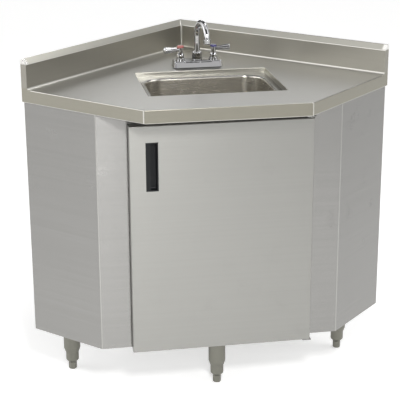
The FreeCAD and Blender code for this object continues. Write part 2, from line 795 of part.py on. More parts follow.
def base_shelf():
    # shelf with its edges turned down between the panels
    outer = five_sided_prism(body_sides(body_sheet), stile_bend, body_bottom, shelf_top)
    outer = outer.makeFillet(body_bend + body_sheet, [e for e in outer.Edges if level_at(e, shelf_top)])
    under = shelf_top - body_sheet
    inner = five_sided_prism(body_sides(2 * body_sheet), stile_bend - body_sheet, body_bottom - past, under)
    inner = inner.makeFillet(body_bend, [e for e in inner.Edges if level_at(e, under)])
    return outer.cut(inner)


def front_header():
    path = [(stile_y + header_flange, deck_under), (stile_y, deck_under), (stile_y, header_bottom),
            (stile_y + stile_return, header_bottom)]
    return bent_sheet(path, body_sheet, [body_bend] * 2, lambda y, z: Vector(-opening_half, y, z),
                      Vector(2 * opening_half, 0, 0))


# Door and its pivots

def door_slab(inset, y0, y1, bottom, top):
    return block(-door_width / 2 + inset, y0, bottom + inset, door_width / 2 - inset, y1, top - inset)


def door_outer_pan():
    outer = door_slab(0, door_front, door_back, door_bottom, door_top)
    outer = outer.makeFillet(door_bend + door_sheet, [e for e in outer.Edges if facing_at(e, door_front)])
    inside = door_front + door_sheet
    inner = door_slab(door_sheet, inside, door_back + past, door_bottom, door_top)
    inner = inner.makeFillet(door_bend, [e for e in inner.Edges if facing_at(e, inside)])
    pan = outer.cut(inner)
    half_w = pull_width / 2 - pull_rim
    half_h = pull_height / 2 - pull_rim
    pan = pan.cut(block(pull_x - half_w, door_front - past, pull_z - half_h,
                        pull_x + half_w, inside + past, pull_z + half_h))
    for z in (door_bottom, door_top):
        reach = door_sheet + past
        pan = pan.cut(rod(bush_radius + pivot_clearance, 2 * reach, pivot_x, pivot_y, z - reach))
    return pan


def door_inner_liner():
    inset = door_sheet + liner_gap
    outer = door_slab(inset, door_back - liner_flange, door_back, door_bottom, door_top)
    inner = door_slab(inset + door_sheet, door_back - liner_flange - past, door_back - door_sheet,
                      door_bottom, door_top)
    return outer.cut(inner)


def door_pull():
    # moulded cup with a rim on the door's face and a grip lip over its free-edge side
    rim = block(pull_x - pull_width / 2, door_front - pull_proud, pull_z - pull_height / 2,
                pull_x + pull_width / 2, door_front, pull_z + pull_height / 2)
    rim = rim.makeFillet(pull_rim_round, [e for e in rim.Edges if facing_at(e, door_front - pull_proud)])
    half_w = pull_width / 2 - pull_rim - pull_gap
    half_h = pull_height / 2 - pull_rim - pull_gap
    cup = block(pull_x - half_w, door_front, pull_z - half_h,
                pull_x + half_w, door_front + pull_depth, pull_z + half_h)
    well_w = half_w - pull_wall
    well_h = half_h - pull_wall
    well = block(pull_x - well_w, door_front + pull_wall - pull_proud, pull_z - well_h,
                 pull_x + well_w, door_front + pull_depth - pull_wall, pull_z + well_h)
    floor = [e for e in well.Edges if facing_at(e, door_front + pull_depth - pull_wall)]
    well = well.makeFillet(pull_floor_round, floor)
    mouth = block(pull_x - well_w + pull_lip, door_front - pull_proud - past, pull_z - well_h,
                  pull_x + well_w, door_front + pull_depth / 2, pull_z + well_h)
    return rim.fuse(cup).cut(well).cut(mouth)


def door_bush(z, inward):
    # flanged bush in the door's edge; inward is 1 at the bottom and -1 at the top
    foot = z if inward > 0 else z - bush_depth
    flange_foot = z - bush_flange_sheet if inward > 0 else z
    bush = rod(bush_radius, bush_depth, pivot_x, pivot_y, foot)
    bush = bush.fuse(rod(bush_radius + bush_flange, bush_flange_sheet, pivot_x, pivot_y, flange_foot))
    bore = bush_depth + bush_flange_sheet + 2 * past
    return bush.cut(rod(pivot_pin_radius + pivot_clearance, bore, pivot_x, pivot_y,
                        min(foot, flange_foot) - past))


def bracket_feet():
    # lower faces of the two bracket plates
    return {"bottom": door_bottom - pivot_gap - bracket_sheet, "top": door_top + pivot_gap}


def screw_axes():
    axes = []
    for foot in bracket_feet().values():
        for x in (pivot_x - screw_spread / 2, pivot_x + screw_spread / 2):
            axes.append((x, foot + bracket_sheet + screw_rise))
    return axes


def cut_screw_holes(panel):
    for x, z in screw_axes():
        hole = Part.makeCylinder(screw_radius + screw_gap, screw_length + past,
                                 Vector(x, stile_y - past, z), Vector(0, 1, 0))
        panel = panel.cut(hole)
    return panel


def pivot_screw(x, z, gap):
    # countersunk screw, its head flush with the bracket
    head = Part.makeCone(screw_head_radius + gap, screw_radius + gap, bracket_sheet,
                         Vector(x, stile_y - bracket_sheet, z), Vector(0, 1, 0))
    shank = Part.makeCylinder(screw_radius + gap, screw_length, Vector(x, stile_y - bracket_sheet, z),
                              Vector(0, 1, 0))
    return head.fuse(shank)


def pivot_bracket(which):
    foot = bracket_feet()[which]
    path = [(pivot_y - bracket_nose, foot), (stile_y, foot), (stile_y, foot + bracket_sheet + bracket_rise)]
    bracket = bent_sheet(path, bracket_sheet, [body_bend],
                         lambda y, z: Vector(pivot_x - bracket_width / 2, y, z), Vector(bracket_width, 0, 0))
    pin_foot = foot + bracket_sheet if which == "bottom" else foot - pivot_pin_length
    bracket = bracket.fuse(rod(pivot_pin_radius, pivot_pin_length, pivot_x, pivot_y, pin_foot))
    for x, z in screw_axes():
        bracket = bracket.cut(pivot_screw(x, z, screw_gap))
    return bracket


def pivot_screws():
    return Part.makeCompound([pivot_screw(x, z, 0) for x, z in screw_axes()])


def magnetic_catch():
    face = door_back + strike_sheet + catch_gap
    body = block(catch_x - catch_width / 2, stile_y + body_sheet, header_bottom - catch_height,
                 catch_x + catch_width / 2, stile_y + catch_depth, header_bottom)
    body = body.makeFillet(catch_round, [e for e in body.Edges if e.BoundBox.YLength > tiny
                                         and level_at(e, header_bottom - catch_height)])
    half = catch_width / 2 - catch_pole_inset
    poles = block(catch_x - half, face, header_bottom - catch_height + catch_pole_inset,
                  catch_x + half, stile_y + catch_depth, header_bottom - catch_pole_inset)
    return body.fuse(poles)


def door_strike():
    return block(catch_x - catch_width / 2, door_back, header_bottom - catch_height + strike_inset,
                 catch_x + catch_width / 2, door_back + strike_sheet, header_bottom - strike_inset)


# Legs

def leg_places():
    # x, y and turn of each leg
    left = plan(leg_along, leg_from_wall)
    return {"left": (left[0], left[1], 45), "right": (-left[0], left[1], 45),
            "rear": plan(leg_rear, leg_rear) + (45,), "front": (0, corner_y - leg_front, 0)}


def leg_plate(x, y, turn):
    plate = rectangle(leg_plate_size, leg_plate_size, leg_plate_corner, x, y, leg_top)
    plate = plate.extrude(up * leg_plate_sheet)
    plate.rotate(Vector(x, y, 0), up, turn)
    return plate.cut(rod(leg_stud_radius + seat_gap, leg_plate_sheet + 2 * past, x, y, leg_top - past))


def leg(x, y):
    bore = foot_radius + foot_clearance
    stud_bore = foot_stud_radius + foot_clearance
    step = foot_top + seat_gap
    bore_end = foot_top + foot_stud_length + past
    profile = [(bore, leg_lip_height, 0), (leg_lip_radius, leg_lip_height, leg_lip_round),
               (leg_radius, leg_lip_height + leg_taper_height, leg_taper_round), (leg_radius, leg_top, 0),
               (leg_stud_radius, leg_top, 0), (leg_stud_radius, leg_top + leg_plate_sheet - seat_gap, 0),
               (0, leg_top + leg_plate_sheet - seat_gap, 0), (0, bore_end, 0), (stud_bore, bore_end, 0),
               (stud_bore, step, 0), (bore, step, 0)]
    return turned(profile, x, y)


def foot(x, y):
    # bullet foot with a six-sided tip and a stud that screws into the leg
    low = foot_tip_height - past
    stud_top = foot_top + foot_stud_length
    profile = [(0, low, 0), (foot_flats / 2 - past, low, 0),
               (foot_radius, foot_shoulder, foot_shoulder_round), (foot_radius, foot_top, foot_top_round),
               (foot_stud_radius, foot_top, 0), (foot_stud_radius, stud_top, edge_round), (0, stud_top, 0)]
    body = turned(profile, x, y)
    point = hexagon(foot_flats, x, y, 0, foot_tip_height)
    corner = foot_flats / math.sqrt(3)
    trim = Part.makeCone(corner - foot_tip_chamfer, corner - foot_tip_chamfer + foot_tip_height,
                         foot_tip_height, Vector(x, y, 0), up)
    return body.fuse(point.common(trim))


def write(pieces):
    os.makedirs("parts", exist_ok=True)
    for name, shape in pieces.items():
        solids = shape.Solids
        if not solids or not all(solid.isValid() and solid.Volume > 0 for solid in solids):
            raise ValueError(name + " is not a sound solid")
        result = solids[0] if len(solids) == 1 else Part.makeCompound(solids)
        result.exportStep("parts/" + name + ".step")
        print(name, len(solids), round(sum(solid.Volume for solid in solids)))


def main():
    side = faucet_centres / 2
    left_panel = side_panel()
    pieces = {
        "deck_top": deck_top(),
        "left_splash_end_cap": splash_end_cap(),
        "right_splash_end_cap": mirrored(splash_end_cap()),
        "left_deck_channel": deck_channel(),
        "right_deck_channel": mirrored(deck_channel()),
        "sink_bowl": sink_bowl(),
        "drain_body": drain_body(),
        "drain_gasket": drain_gasket(),
        "drain_locknut": drain_locknut(),
        "drain_basket": drain_basket(),
        "drain_tailpiece": drain_tailpiece(),
        "drain_coupling_nut": drain_coupling_nut(),
        "faucet_gasket": faucet_gasket(),
        "faucet_body": faucet_body(),
        "spout_nut": spout_nut(),
        "gooseneck_spout": gooseneck_spout(),
        "spout_aerator": spout_aerator(),
        "shank_locknuts": shank_locknuts(),
        "left_side_panel": left_panel,
        "right_side_panel": cut_screw_holes(mirrored(left_panel)),
        "left_back_panel": back_panel(),
        "right_back_panel": mirrored(back_panel()),
        "base_shelf": cut_screw_holes(base_shelf()),
        "front_header": front_header(),
        "door_outer_pan": door_outer_pan(),
        "door_inner_liner": door_inner_liner(),
        "door_pull": door_pull(),
        "door_bottom_bush": door_bush(door_bottom, 1),
        "door_top_bush": door_bush(door_top, -1),
        "door_strike": door_strike(),
        "bottom_pivot_bracket": pivot_bracket("bottom"),
        "top_pivot_bracket": pivot_bracket("top"),
        "pivot_screws": pivot_screws(),
        "magnetic_catch": magnetic_catch(),
    }
    for name, sign in (("hot", -1), ("cold", 1)):
        pieces[name + "_bonnet"] = bonnet(sign * side)
        pieces[name + "_stem"] = stem(sign * side)
        pieces[name + "_lever"] = lever(sign)
        pieces[name + "_index"] = index_cap(sign * side)
        pieces[name + "_supply_shank"] = supply_shank(sign * side)
    for name, (x, y, turn) in leg_places().items():
        pieces[name + "_leg_plate"] = leg_plate(x, y, turn)
        pieces[name + "_leg"] = leg(x, y)
        pieces[name + "_foot"] = foot(x, y)
    write(pieces)


main()
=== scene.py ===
import bpy
import bmesh
import json
import math
from mathutils import Matrix, Vector


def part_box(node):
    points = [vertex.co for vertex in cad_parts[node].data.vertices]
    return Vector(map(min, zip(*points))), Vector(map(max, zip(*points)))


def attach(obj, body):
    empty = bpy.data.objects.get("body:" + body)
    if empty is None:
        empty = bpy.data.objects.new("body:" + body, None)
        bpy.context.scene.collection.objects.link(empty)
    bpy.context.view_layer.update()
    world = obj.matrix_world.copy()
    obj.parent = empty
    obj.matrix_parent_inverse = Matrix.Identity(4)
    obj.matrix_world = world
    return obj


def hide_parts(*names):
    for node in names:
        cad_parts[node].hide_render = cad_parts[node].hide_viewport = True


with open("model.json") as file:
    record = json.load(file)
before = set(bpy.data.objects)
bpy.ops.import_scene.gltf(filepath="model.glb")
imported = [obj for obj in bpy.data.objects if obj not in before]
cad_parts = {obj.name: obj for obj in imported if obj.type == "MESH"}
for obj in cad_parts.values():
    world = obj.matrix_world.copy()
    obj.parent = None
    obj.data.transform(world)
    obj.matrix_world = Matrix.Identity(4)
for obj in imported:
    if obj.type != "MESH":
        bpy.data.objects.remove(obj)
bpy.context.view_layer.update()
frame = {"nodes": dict(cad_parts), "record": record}        # nodes, record
nodes = frame["nodes"]
root2 = math.sqrt(2.0)
topLow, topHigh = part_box("deck_top")
wallSide = (topHigh.x - topLow.x) / root2      # length of the top along each wall
back = topHigh.y                               # where the two walls meet
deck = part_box("faucet_gasket")[0].z            # the gasket lies on the deck
print("frame loaded,", len(nodes), "nodes")


# one socket of a node tree, so that shader maths reads as plain expressions
class Wire:
    def __init__(self, tree, socket=None):
        self.tree = tree
        self.socket = socket

    def feed(self, socket, value):
        if isinstance(value, Wire):
            self.tree.links.new(value.socket, socket)
        else:
            socket.default_value = value

    def node(self, kind, settings=None, inputs=None, out=0):
        made = self.tree.nodes.new("ShaderNode" + kind)
        for key, value in (settings or {}).items():
            setattr(made, key, value)
        for key, value in (inputs or {}).items():
            self.feed(made.inputs[key], value)
        if isinstance(out, tuple):
            return [Wire(self.tree, made.outputs[key]) for key in out]
        if not made.outputs:
            return None
        return Wire(self.tree, made.outputs[out])

    def maths(self, operation, first, second):
        return self.node("Math", {"operation": operation}, {0: first, 1: second})

    def __add__(self, other):
        return self.maths("ADD", self, other)

    def __radd__(self, other):
        return self.maths("ADD", other, self)

    def __sub__(self, other):
        return self.maths("SUBTRACT", self, other)

    def __rsub__(self, other):
        return self.maths("SUBTRACT", other, self)

    def __mul__(self, other):
        return self.maths("MULTIPLY", self, other)

    def __rmul__(self, other):
        return self.maths("MULTIPLY", other, self)

    def __abs__(self):
        return self.maths("ABSOLUTE", self, 0.0)


def newFinish(name):
    finish = bpy.data.materials.new(name)
    finish.use_nodes = True
    return finish, Wire(finish.node_tree), finish.node_tree.nodes["Principled BSDF"]


def mixTones(wire, factor, first, second):
    return wire.node("Mix", {"data_type": "RGBA"}, {0: factor, 6: first, 7: second}, out=2)


# noise between 0 and 1 around 0.5, on a place scaled per metre
def speckle(wire, place, scale, detail=3.0, rough=0.55):
    return wire.node("TexNoise", {"noise_dimensions": "3D"},
                     {"Vector": place, "Scale": scale, "Detail": detail, "Roughness": rough})


# 0 at the first value, 1 at the second
def step(wire, value, low, high):
    return wire.node("MapRange", {"interpolation_type": "SMOOTHSTEP"},
                     {"Value": value, "From Min": low, "From Max": high})


def bump(wire, height, strength, distance, under=None):
    sockets = {"Strength": strength, "Distance": distance, "Height": height}
    if under:
        sockets["Normal"] = under
    return wire.node("Bump", inputs=sockets)


# brushed stainless sheet, its grain running level on every face; long and fine are grains per metre
topLook = {
    # level faces take the lighter tone and upright faces the darker one: painted shade by facing on one
    # sheet
    "tone": (0.483, 0.478, 0.454, 1), "uprightPaintedTone": (0.311, 0.298, 0.253, 1), "rough": 0.37,
    "long": 9.0, "fine": 1500.0, "stretch": 0.0, "wave": 0.0004, "streaks": 0.05,
    # painted shade on the front apron and on the splash, painted light on the slope
    "frontPaintedTone": (0.268, 0.256, 0.214, 1), "frontY": (-0.40, -0.41),
    "splashPaintedTone": (0.330, 0.318, 0.282, 1), "splashFoot": (0.002, 0.006),      # heights above the deck
    "slopePaintedTone": (0.505, 0.493, 0.442, 1), "slopeFoot": (0.069, 0.0715),
    # a light tone painted as highlights on bends, splash ends and front corner lines, and the share of it
    # on the bends
    "highlightTone": (0.80, 0.79, 0.76, 1), "bendHighlightShare": 0.5,
    "endHighlightInset": (0.016, 0.010), "endHighlightFoot": (0.070, 0.075),
    "cornerLineX": 0.2314, "cornerLineWidth": (0.0008, 0.0018), "cornerLineY": (-0.405, -0.412), "cornerLineShare": 0.7,
    "lipX": (0.205, 0.215), "lipY": (-0.30, -0.29), "lipZ": 0.0005,
}
bodyLook = {
    # corner is a lighter tone painted on the upright bends as a highlight
    "tone": (0.287, 0.283, 0.273, 1), "corner": (0.42, 0.415, 0.395, 1), "rough": 0.24,
    "long": 9.0, "fine": 1500.0, "stretch": 0.92, "wave": 0.0004, "streaks": 0.11,
}
doorLook = {
    "tone": (0.321, 0.318, 0.301, 1), "rough": 0.36,
    "long": 9.0, "fine": 1500.0, "stretch": 0.72, "wave": 0.0004, "streaks": 0.05,
}
bowlLook = {
    # painted light and shade by facing: the upright walls take a much lighter tone than the level ledge
    # and floor of the same sheet
    "tone": (0.345, 0.340, 0.323, 1), "uprightPaintedTone": (0.740, 0.715, 0.655, 1), "rough": 0.25,
    "long": 30.0, "fine": 1300.0, "stretch": 0.5, "wave": 0.00008, "streaks": 0.05,
}
legLook = {
    "tone": (0.208, 0.205, 0.177, 1), "rough": 0.42,
    "long": 40.0, "fine": 1100.0, "stretch": 0.3, "wave": 0.0002, "streaks": 0.05,
}
bracketLook = {
    "tone": (0.30, 0.30, 0.29, 1), "rough": 0.40,
    "long": 60.0, "fine": 1400.0, "stretch": 0.2, "wave": 0.0001, "streaks": 0.05,
}
drainLook = {
    "tone": (0.55, 0.55, 0.53, 1), "rough": 0.26,
    "long": 80.0, "fine": 1600.0, "stretch": 0.3, "wave": 0.0001, "streaks": 0.05,
}
# what all the sheets share: pattern sizes per metre, and how deep the grain is cut
grain = {"band": 0.09, "cloud": 2.6, "smudge": 13.0, "dent": 3.1, "cut": 0.00004}


# where a point of the sheet lies, and which way it faces
def readFace(wire):
    place = wire.node("TexCoord", out="Object")
    x, y, z = wire.node("SeparateXYZ", inputs={0: place}, out=(0, 1, 2))
    facing = wire.node("TexCoord", out="Normal")
    sideways, lift = wire.node("SeparateXYZ", inputs={0: facing}, out=(0, 2))
    level = abs(lift)
    return {"place": place, "x": x, "y": y, "z": z, "side": abs(x),
            "turned": abs(sideways), "lift": lift, "level": level,
            "flat": step(wire, level, 0.90, 0.99), "raised": step(wire, level, 0.40, 0.68)}


# level and upright faces of a plain sheet, each with its tone, which on the bowl is painted light and
# shade by facing; where the look gives a corner tone, upright bends get it as a painted highlight
def plainSheet(wire, look, face):
    sheet = mixTones(wire, face["raised"], look.get("uprightPaintedTone", look["tone"]), look["tone"])
    if "corner" not in look:
        return sheet, 0.0
    turned = face["turned"]
    paintedHighlight = step(wire, turned, 0.06, 0.20) * (1.0 - step(wire, turned, 0.50, 0.66))
    paintedHighlight = paintedHighlight * (1.0 - step(wire, face["level"], 0.05, 0.20))
    return mixTones(wire, paintedHighlight, sheet, look["corner"]), paintedHighlight


# the top is one sheet, yet deck, aprons, front apron, splash and its slope have tones of their own:
# painted light and shade by face
def topSheet(wire, look, face):
    y, z, side, level, turned = (face[key] for key in ("y", "z", "side", "level", "turned"))
    # the turned-down edge of the sink cut-out keeps the painted tone of the level deck, not the darker
    # upright one
    inside = (1.0 - step(wire, side, *look["lipX"])) * step(wire, y, *look["lipY"])
    inside = inside * (1.0 - step(wire, z, deck, deck + look["lipZ"]))
    raised = wire.maths("MAXIMUM", face["raised"], inside)
    sheet = mixTones(wire, raised, look["uprightPaintedTone"], look["tone"])

    upright = 1.0 - raised
    ahead = (1.0 - step(wire, turned, 0.20, 0.45)) * upright * step(wire, y, *look["frontY"])
    sheet = mixTones(wire, ahead, sheet, look["frontPaintedTone"])
    above = step(wire, z, *(deck + rise for rise in look["splashFoot"]))
    sheet = mixTones(wire, above * upright, sheet, look["splashPaintedTone"])
    sheet = mixTones(wire, raised * (1.0 - face["flat"]), sheet, look["slopePaintedTone"])

    # painted highlights on the bends: coves, end edges and the lower edge of the aprons, but not the slope
    # itself
    bend = step(wire, level, 0.10, 0.30) * (1.0 - step(wire, level, 0.93, 0.99))
    upper = step(wire, z, *(deck + rise for rise in look["slopeFoot"]))
    sloping = 1.0 - step(wire, abs(level - math.sqrt(0.5)), 0.015, 0.05)
    outer = wire.maths("MAXIMUM", step(wire, turned, 0.08, 0.20), step(wire, face["lift"], -0.05, -0.10))
    paintedHighlight = look["bendHighlightShare"] * bend * (1.0 - upper * sloping) * outer
    # painted highlights at the ends of the splash, and painted highlight lines at the corners of the front
    # edge
    along = (back - y + side) * math.sqrt(0.5)
    ends = step(wire, along, *(wallSide - inset for inset in look["endHighlightInset"]))
    ends = ends * step(wire, z, *(deck + rise for rise in look["endHighlightFoot"]))
    paintedHighlight = wire.maths("MAXIMUM", paintedHighlight, ends)
    line = 1.0 - step(wire, abs(side - look["cornerLineX"]), *look["cornerLineWidth"])
    line = look["cornerLineShare"] * line * upright * step(wire, y, *look["cornerLineY"])
    paintedHighlight = wire.maths("MAXIMUM", paintedHighlight, line)
    return mixTones(wire, paintedHighlight, sheet, look["highlightTone"]), paintedHighlight


def brushedSteel(name, look, paint=plainSheet):
    finish, wire, shader = newFinish(name)
    face = readFace(wire)
    sheet, paintedHighlight = paint(wire, look, face)

    long, fine = look["long"], look["fine"]
    lanes = wire.node("CombineXYZ", inputs={
        0: face["x"] * long,
        1: face["y"] * (long + face["flat"] * (fine - long)),
        2: face["z"] * fine,
    })
    hair = speckle(wire, lanes, 1.0, 2.0)
    band = speckle(wire, lanes, grain["band"], 2.0)
    cloud = speckle(wire, face["place"], grain["cloud"], 3.0)
    smudge = step(wire, speckle(wire, face["place"], grain["smudge"], 5.0, 0.62), 0.56, 0.78)

    streak = 0.95 + look["streaks"] * (band - 0.5) + 0.06 * hair + 0.04 * cloud - 0.02 * smudge
    shade = wire.node("VectorMath", {"operation": "SCALE"}, {0: sheet, "Scale": streak})
    wire.feed(shader.inputs["Base Color"], shade)
    # where highlights are painted the sheet is also less rough
    rough = look["rough"] - 0.08 + 0.12 * hair + 0.04 * cloud + 0.05 * smudge - 0.14 * paintedHighlight
    wire.feed(shader.inputs["Roughness"], rough)
    shader.inputs["Metallic"].default_value = 1.0
    shader.inputs["Anisotropic"].default_value = look["stretch"]
    shader.inputs["Anisotropic Rotation"].default_value = 0.25    # light spreads across the grain

    # the sheet is never quite flat, and the grain is cut into it
    slow = bump(wire, speckle(wire, face["place"], grain["dent"], 1.0), 0.5, look["wave"])
    wire.feed(shader.inputs["Normal"], bump(wire, hair, 0.25, grain["cut"], slow))
    return finish


chromeLook = {
    "tone": (0.48, 0.48, 0.485, 1), "dull": (0.40, 0.40, 0.39, 1), "rough": 0.07,
    "film": 60.0, "drops": 260.0, "splashes": 35.0, "ripple": 90.0, "depth": 0.0001,
}


def chromePlate(name, look):
    finish, wire, shader = newFinish(name)
    place = wire.node("TexCoord", out="Object")
    film = speckle(wire, place, look["film"], 4.0)
    drops = wire.node("TexVoronoi", inputs={"Vector": place, "Scale": look["drops"]})
    wetted = step(wire, speckle(wire, place, look["splashes"], 2.0), 0.52, 0.60)
    dried = step(wire, drops, 0.16, 0.05) * wetted
    wire.feed(shader.inputs["Base Color"], mixTones(wire, 0.25 * dried, look["tone"], look["dull"]))
    wire.feed(shader.inputs["Roughness"], look["rough"] - 0.03 + 0.06 * film + 0.12 * dried)
    shader.inputs["Metallic"].default_value = 1.0
    ripple = speckle(wire, place, look["ripple"], 1.0)
    wire.feed(shader.inputs["Normal"], bump(wire, ripple, 0.3, look["depth"]))
    return finish


brassLook = {
    "tone": (0.66, 0.50, 0.24, 1), "dark": (0.36, 0.25, 0.11, 1), "rough": 0.30,
    "rings": 2500.0, "stains": 70.0, "depth": 0.00006,
}


def turnedBrass(name, look):
    finish, wire, shader = newFinish(name)
    place = wire.node("TexCoord", out="Object")
    z = wire.node("SeparateXYZ", inputs={0: place}, out=2)
    rings = speckle(wire, wire.node("CombineXYZ", inputs={2: z * look["rings"]}), 1.0, 2.0)
    stain = step(wire, speckle(wire, place, look["stains"], 5.0), 0.48, 0.72)
    tone = mixTones(wire, 0.6 * stain + 0.15 * rings, look["tone"], look["dark"])
    wire.feed(shader.inputs["Base Color"], tone)
    wire.feed(shader.inputs["Roughness"], look["rough"] + 0.12 * rings + 0.15 * stain)
    shader.inputs["Metallic"].default_value = 1.0
    wire.feed(shader.inputs["Normal"], bump(wire, rings, 0.35, look["depth"]))
    return finish


pullLook = {
    "tone": (0.010, 0.011, 0.012, 1), "worn": (0.022, 0.022, 0.023, 1), "rough": 0.48,
    "grit": 1400.0, "depth": 0.00006, "gloss": 0.2,
}
nylonLook = {
    "tone": (0.74, 0.73, 0.68, 1), "worn": (0.55, 0.53, 0.47, 1), "rough": 0.45,
    "grit": 900.0, "depth": 0.00003, "gloss": 0.5,
}
rubberLook = {
    "tone": (0.022, 0.022, 0.023, 1), "worn": (0.06, 0.06, 0.058, 1), "rough": 0.68,
    "grit": 1100.0, "depth": 0.00008, "gloss": 0.4,
}
redLook = {
    "tone": (0.40, 0.125, 0.110, 1), "worn": (0.48, 0.21, 0.19, 1), "rough": 0.22,
    "grit": 500.0, "depth": 0.00001, "gloss": 0.5,
}
blueLook = {
    "tone": (0.050, 0.048, 0.15, 1), "worn": (0.10, 0.10, 0.22, 1), "rough": 0.22,
    "grit": 500.0, "depth": 0.00001, "gloss": 0.5,
}
rubScale = 55.0      # worn patches per metre on what is moulded


def mouldedPiece(name, look):
    finish, wire, shader = newFinish(name)
    place = wire.node("TexCoord", out="Object")
    grit = speckle(wire, place, look["grit"], 2.0)
    rub = step(wire, speckle(wire, place, rubScale, 5.0), 0.50, 0.80)
    tone = mixTones(wire, 0.5 * rub + 0.12 * grit, look["tone"], look["worn"])
    wire.feed(shader.inputs["Base Color"], tone)
    wire.feed(shader.inputs["Roughness"], look["rough"] - 0.05 + 0.10 * grit + 0.10 * rub)
    shader.inputs["Specular IOR Level"].default_value = look["gloss"]
    wire.feed(shader.inputs["Normal"], bump(wire, grit, 0.5, look["depth"]))
    return finish


finishes = {
    "top_steel": brushedSteel("topSheet", topLook, topSheet),
    "body_steel": brushedSteel("bodySheet", bodyLook),
    "bowl_steel": brushedSteel("drawnBowl", bowlLook),
    "door_steel": brushedSteel("doorSheet", doorLook),
    "leg_steel": brushedSteel("satinLeg", legLook),
    "bracket_steel": brushedSteel("plainBracket", bracketLook),
    "drain_steel": brushedSteel("satinDrain", drainLook),
    "chrome": chromePlate("faucetChrome", chromeLook),
    "brass": turnedBrass("turnedBrass", brassLook),
    "black_plastic": mouldedPiece("pullPlastic", pullLook),
    "nylon": mouldedPiece("bushNylon", nylonLook),
    "rubber": mouldedPiece("gasketRubber", rubberLook),
    "red_index": mouldedPiece("hotCap", redLook),
    "blue_index": mouldedPiece("coldCap", blueLook),
}

for piece in frame["record"]["subparts"]:
    mesh = nodes[piece["node"]].data
    mesh.materials.clear()
    mesh.materials.append(finishes[piece["material_slot"]])
print("finishes on", len(finishes), "slots")


# small pieces that the solids leave plain; in edit mode, what is worked on is chosen by its place
def pick(kind, test):
    bpy.ops.mesh.select_mode(type=kind)
    bpy.ops.mesh.select_all(action="DESELECT")
    net = bmesh.from_edit_mesh(bpy.context.object.data)
    for item in {"VERT": net.verts, "EDGE": net.edges, "FACE": net.faces}[kind]:
        item.select_set(test(item))
    net.select_flush_mode()
    bmesh.update_edit_mesh(bpy.context.object.data)


def extrude(*shift):
    bpy.ops.mesh.extrude_region_move(TRANSFORM_OT_translate={"value": shift})


def begin(name):
    piece = bpy.context.object
    piece.name = piece.data.name = name
    bpy.ops.object.transform_apply(location=True, rotation=True, scale=True)
    bpy.ops.object.mode_set(mode="EDIT")
    return piece


def choose(*pieces):
    bpy.ops.object.select_all(action="DESELECT")
    for piece in pieces:
        piece.select_set(True)
    bpy.context.view_layer.objects.active = pieces[0]


def copyTo(piece, name, shift):
    choose(piece)
    bpy.ops.object.duplicate()
    twin = bpy.context.object
    twin.name = twin.data.name = name
    bpy.ops.transform.translate(value=shift)
    bpy.ops.object.transform_apply(location=True, rotation=True, scale=True)
    return twin


def settle(piece, body, slot, finish=None):
    choose(piece)
    bpy.ops.object.shade_smooth_by_angle(angle=math.radians(35))
    piece.data.materials.clear()
    piece.data.materials.append(finish or finishes[slot])
    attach(piece, body)


# the two splashes are welded in the corner and the weld is ground to a small hollow; heights from the deck
weld = {
    "foot": 0.0028, "faceTop": 0.0711, "slopeTop": 0.0851, "depth": 0.0206,
    "radius": 0.0042, "sides": 48, "arc": 0.70, "ease": 0.002, "fade": 0.0016, "fadeShare": 0.3,
}
weldLook = {
    "tone": (0.52, 0.51, 0.48, 1), "rough": 0.30,
    "long": 90.0, "fine": 140.0, "stretch": 0.0, "wave": 0.0001, "streaks": 0.05,
}


def grindCorner():
    radius, fade = weld["radius"], weld["fade"]
    rise, climb = weld["faceTop"] - weld["foot"], weld["slopeTop"] - weld["faceTop"]
    corner = back - weld["depth"] * root2
    axis = Vector((0, corner - radius * root2, deck + weld["foot"]))
    bpy.ops.object.select_all(action="DESELECT")
    bpy.ops.mesh.primitive_circle_add(vertices=weld["sides"], radius=radius, location=axis)
    piece = begin("splashCornerWeld")
    pick("VERT", lambda point: (point.co - axis).y < radius * weld["arc"])
    bpy.ops.mesh.delete(type="VERT")
    # up the corner, along the valley of the sloping tops, and out into the sheet
    bpy.ops.mesh.select_all(action="SELECT")
    extrude(0, 0, rise)
    extrude(0, climb * root2, climb)
    extrude(0, fade * root2, fade)
    tip = Vector((0, corner + (climb + fade) * root2, deck + weld["slopeTop"] + fade))
    bpy.ops.transform.resize(value=(weld["fadeShare"], weld["fadeShare"], 1), center_override=tip)
    # the bend between face and slope is eased
    bend = deck + weld["faceTop"]
    pick("EDGE", lambda edge: all(abs(point.co.z - bend) < 1e-5 for point in edge.verts))
    bpy.ops.mesh.bevel(offset=weld["ease"], segments=4, affect="EDGES")
    away = sum((face.normal.y for face in bmesh.from_edit_mesh(piece.data).faces), 0.0)
    if away > 0:
        bpy.ops.mesh.select_all(action="SELECT")
        bpy.ops.mesh.flip_normals()
    bpy.ops.object.mode_set(mode="OBJECT")
    settle(piece, "cabinet", "top_steel", brushedSteel("groundWeld", weldLook))


# one ridge wound up a stud from low to high, round the upright through the origin; shares of the pitch
thread = {"pitch": 0.0018, "crest": 0.00036, "sides": 26, "foot": 0.8, "runOut": 0.4, "sink": 1.2}


